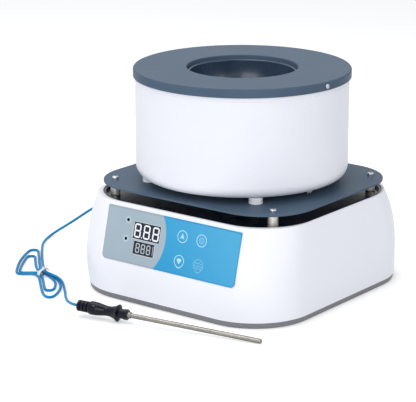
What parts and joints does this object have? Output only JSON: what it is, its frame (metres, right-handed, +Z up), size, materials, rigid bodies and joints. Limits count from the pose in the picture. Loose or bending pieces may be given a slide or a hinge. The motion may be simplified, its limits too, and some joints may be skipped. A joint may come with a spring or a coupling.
{
  "type": "magnetic stirring heating mantle",
  "caption": "Electric heating mantle for a round bottom flask: round pot over a moulded base with a leaning control panel, bench tray, mains inlet and a corded temperature probe.",
  "frame": {"origin": "where the flask axis meets the bench, at the level of the tray rim", "axes": "+Z up along the flask axis, the control panel faces -Y, the probe socket is on the -X side, the mains inlet faces +Y"},
  "size_m": [0.3953, 0.3297, 0.225],
  "materials": {
    "housing_white": "smooth white moulded plastic",
    "tray_grey": "grey moulded plastic",
    "foot_rubber": "black rubber",
    "zinc_steel": "zinc plated steel",
    "nickel": "satin nickel plated steel",
    "pan_dark": "dark blue-grey paint",
    "slate_paint": "slate blue-grey enamel",
    "pot_white": "white enamel",
    "foot_ceramic": "white heat resisting spacer",
    "bowl_enamel": "dark slate glossy enamel",
    "winding_cloth": "glass fibre covered heating element",
    "jacket_wool": "mineral fibre insulation",
    "bead_ceramic": "ceramic bead",
    "motor_steel": "black painted motor case",
    "bright_steel": "ground steel",
    "magnet": "nickel plated magnet",
    "carrier_plastic": "black plastic",
    "board_green": "green circuit board",
    "transformer_yellow": "taped winding and laminations",
    "sink_aluminium": "extruded aluminium",
    "film_blue": "printed film",
    "display_dark": "dark display window",
    "lamp_dark": "small dark lamp lens",
    "black_plastic": "black plastic",
    "brass_blade": "plated brass",
    "fuse_glass": "glass fuse",
    "plug_metal": "plated metal",
    "cord_blue": "blue silicone cord",
    "tie_white": "white tie",
    "handle_navy": "near-black moulded handle"
  },
  "bodies": {
    "mantle": {"base_shell": "housing_white", "base_tray": "tray_grey", "rubber_feet": "foot_rubber", "tray_screws": "zinc_steel", "top_pan": "pan_dark", "standoffs": "nickel", "heat_shield": "slate_paint", "shield_screws": "zinc_steel", "pot_feet": "foot_ceramic", "pot_bolts": "zinc_steel", "pot_nuts": "zinc_steel", "pot_shell": "pot_white", "pot_cover": "slate_paint", "cover_screws": "zinc_steel", "heating_bowl": "bowl_enamel", "heater_winding": "winding_cloth", "insulation_jacket": "jacket_wool", "heater_terminals": "zinc_steel", "terminal_bead": "bead_ceramic", "motor_bracket": "zinc_steel", "stir_motor": "motor_steel", "power_board": "board_green", "power_board_screws": "zinc_steel", "transformer": "transformer_yellow", "heat_sink": "sink_aluminium", "panel_film": "film_blue", "temperature_display": "display_dark", "speed_display": "display_dark", "indicator_lamps": "lamp_dark", "key_switches": "black_plastic", "control_board": "board_green", "board_screws": "zinc_steel", "inlet_blades": "brass_blade", "mains_inlet": "black_plastic", "inlet_screws": "zinc_steel", "switch_frame": "black_plastic", "probe_socket": "plug_metal", "socket_nut": "plug_metal", "probe_plug": "black_plastic", "plug_ring": "plug_metal", "probe_cord": "cord_blue", "cord_hank": "cord_blue", "probe_cord_tail": "cord_blue", "cord_tie": "tie_white", "probe_handle": "handle_navy", "probe_ferrule": "bright_steel", "probe_rod": "bright_steel"},
    "stir_rotor": {"motor_shaft": "bright_steel", "magnet_carrier": "carrier_plastic", "drive_magnets": "magnet"},
    "fuse_carrier": {"fuse_drawer": "black_plastic", "fuse": "fuse_glass"},
    "rocker": {"power_rocker": "black_plastic"}
  },
  "joints": [
    {"name": "stir_rotor_spin", "type": "hinge", "parent": "mantle", "child": "stir_rotor", "pos_m": [0, 0, 0.1], "axis": [0, 0, 1], "continuous": true},
    {"name": "fuse_drawer_slide", "type": "slide", "parent": "mantle", "child": "fuse_carrier", "axis": [0, 1, 0], "range_m": [0, 0.022]},
    {"name": "power_rocker_tilt", "type": "hinge", "parent": "mantle", "child": "rocker", "pos_m": [-0.03, 0.1305, 0.037], "axis": [1, 0, 0], "range_deg": [0, 18]}
  ]
}
